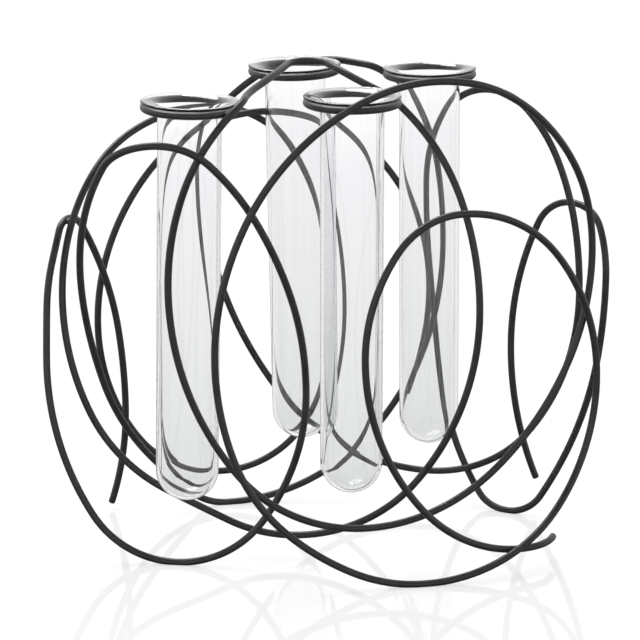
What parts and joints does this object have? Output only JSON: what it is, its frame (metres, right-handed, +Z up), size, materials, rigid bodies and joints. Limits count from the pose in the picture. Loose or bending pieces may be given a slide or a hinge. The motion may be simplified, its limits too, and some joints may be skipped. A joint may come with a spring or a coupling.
{
  "type": "test tube vase",
  "caption": "Free-standing bud vase: clear glass test tubes hang by their flared lips in rings on a stand of scribbled black wire.",
  "frame": {"origin": "middle of the footprint, on the table", "axes": "+X to the viewer's right along the stand, +Y away from the viewer, +Z up"},
  "size_m": [0.2304, 0.1292, 0.2024],
  "materials": {
    "black_wire": "satin black coat on round steel wire",
    "glass": "clear polished glass"
  },
  "bodies": {
    "stand": {"wire_front": "black_wire", "wire_back": "black_wire", "ring_front_left": "black_wire", "ring_back_left": "black_wire", "ring_front_right": "black_wire", "ring_back_right": "black_wire"},
    "glass_front_left": {"tube_front_left": "glass"},
    "glass_back_left": {"tube_back_left": "glass"},
    "glass_front_right": {"tube_front_right": "glass"},
    "glass_back_right": {"tube_back_right": "glass"}
  },
  "joints": [
    {"name": "lift_front_left", "type": "slide", "parent": "stand", "child": "glass_front_left", "axis": [0.0198, 0, 0.9998], "range_m": [0, 0.17]},
    {"name": "lift_back_left", "type": "slide", "parent": "stand", "child": "glass_back_left", "axis": [-0.0186, 0, 0.9998], "range_m": [0, 0.17]},
    {"name": "lift_front_right", "type": "slide", "parent": "stand", "child": "glass_front_right", "axis": [0, 0, 1], "range_m": [0, 0.17]},
    {"name": "lift_back_right", "type": "slide", "parent": "stand", "child": "glass_back_right", "axis": [-0.0087, 0, 1], "range_m": [0, 0.17]}
  ]
}
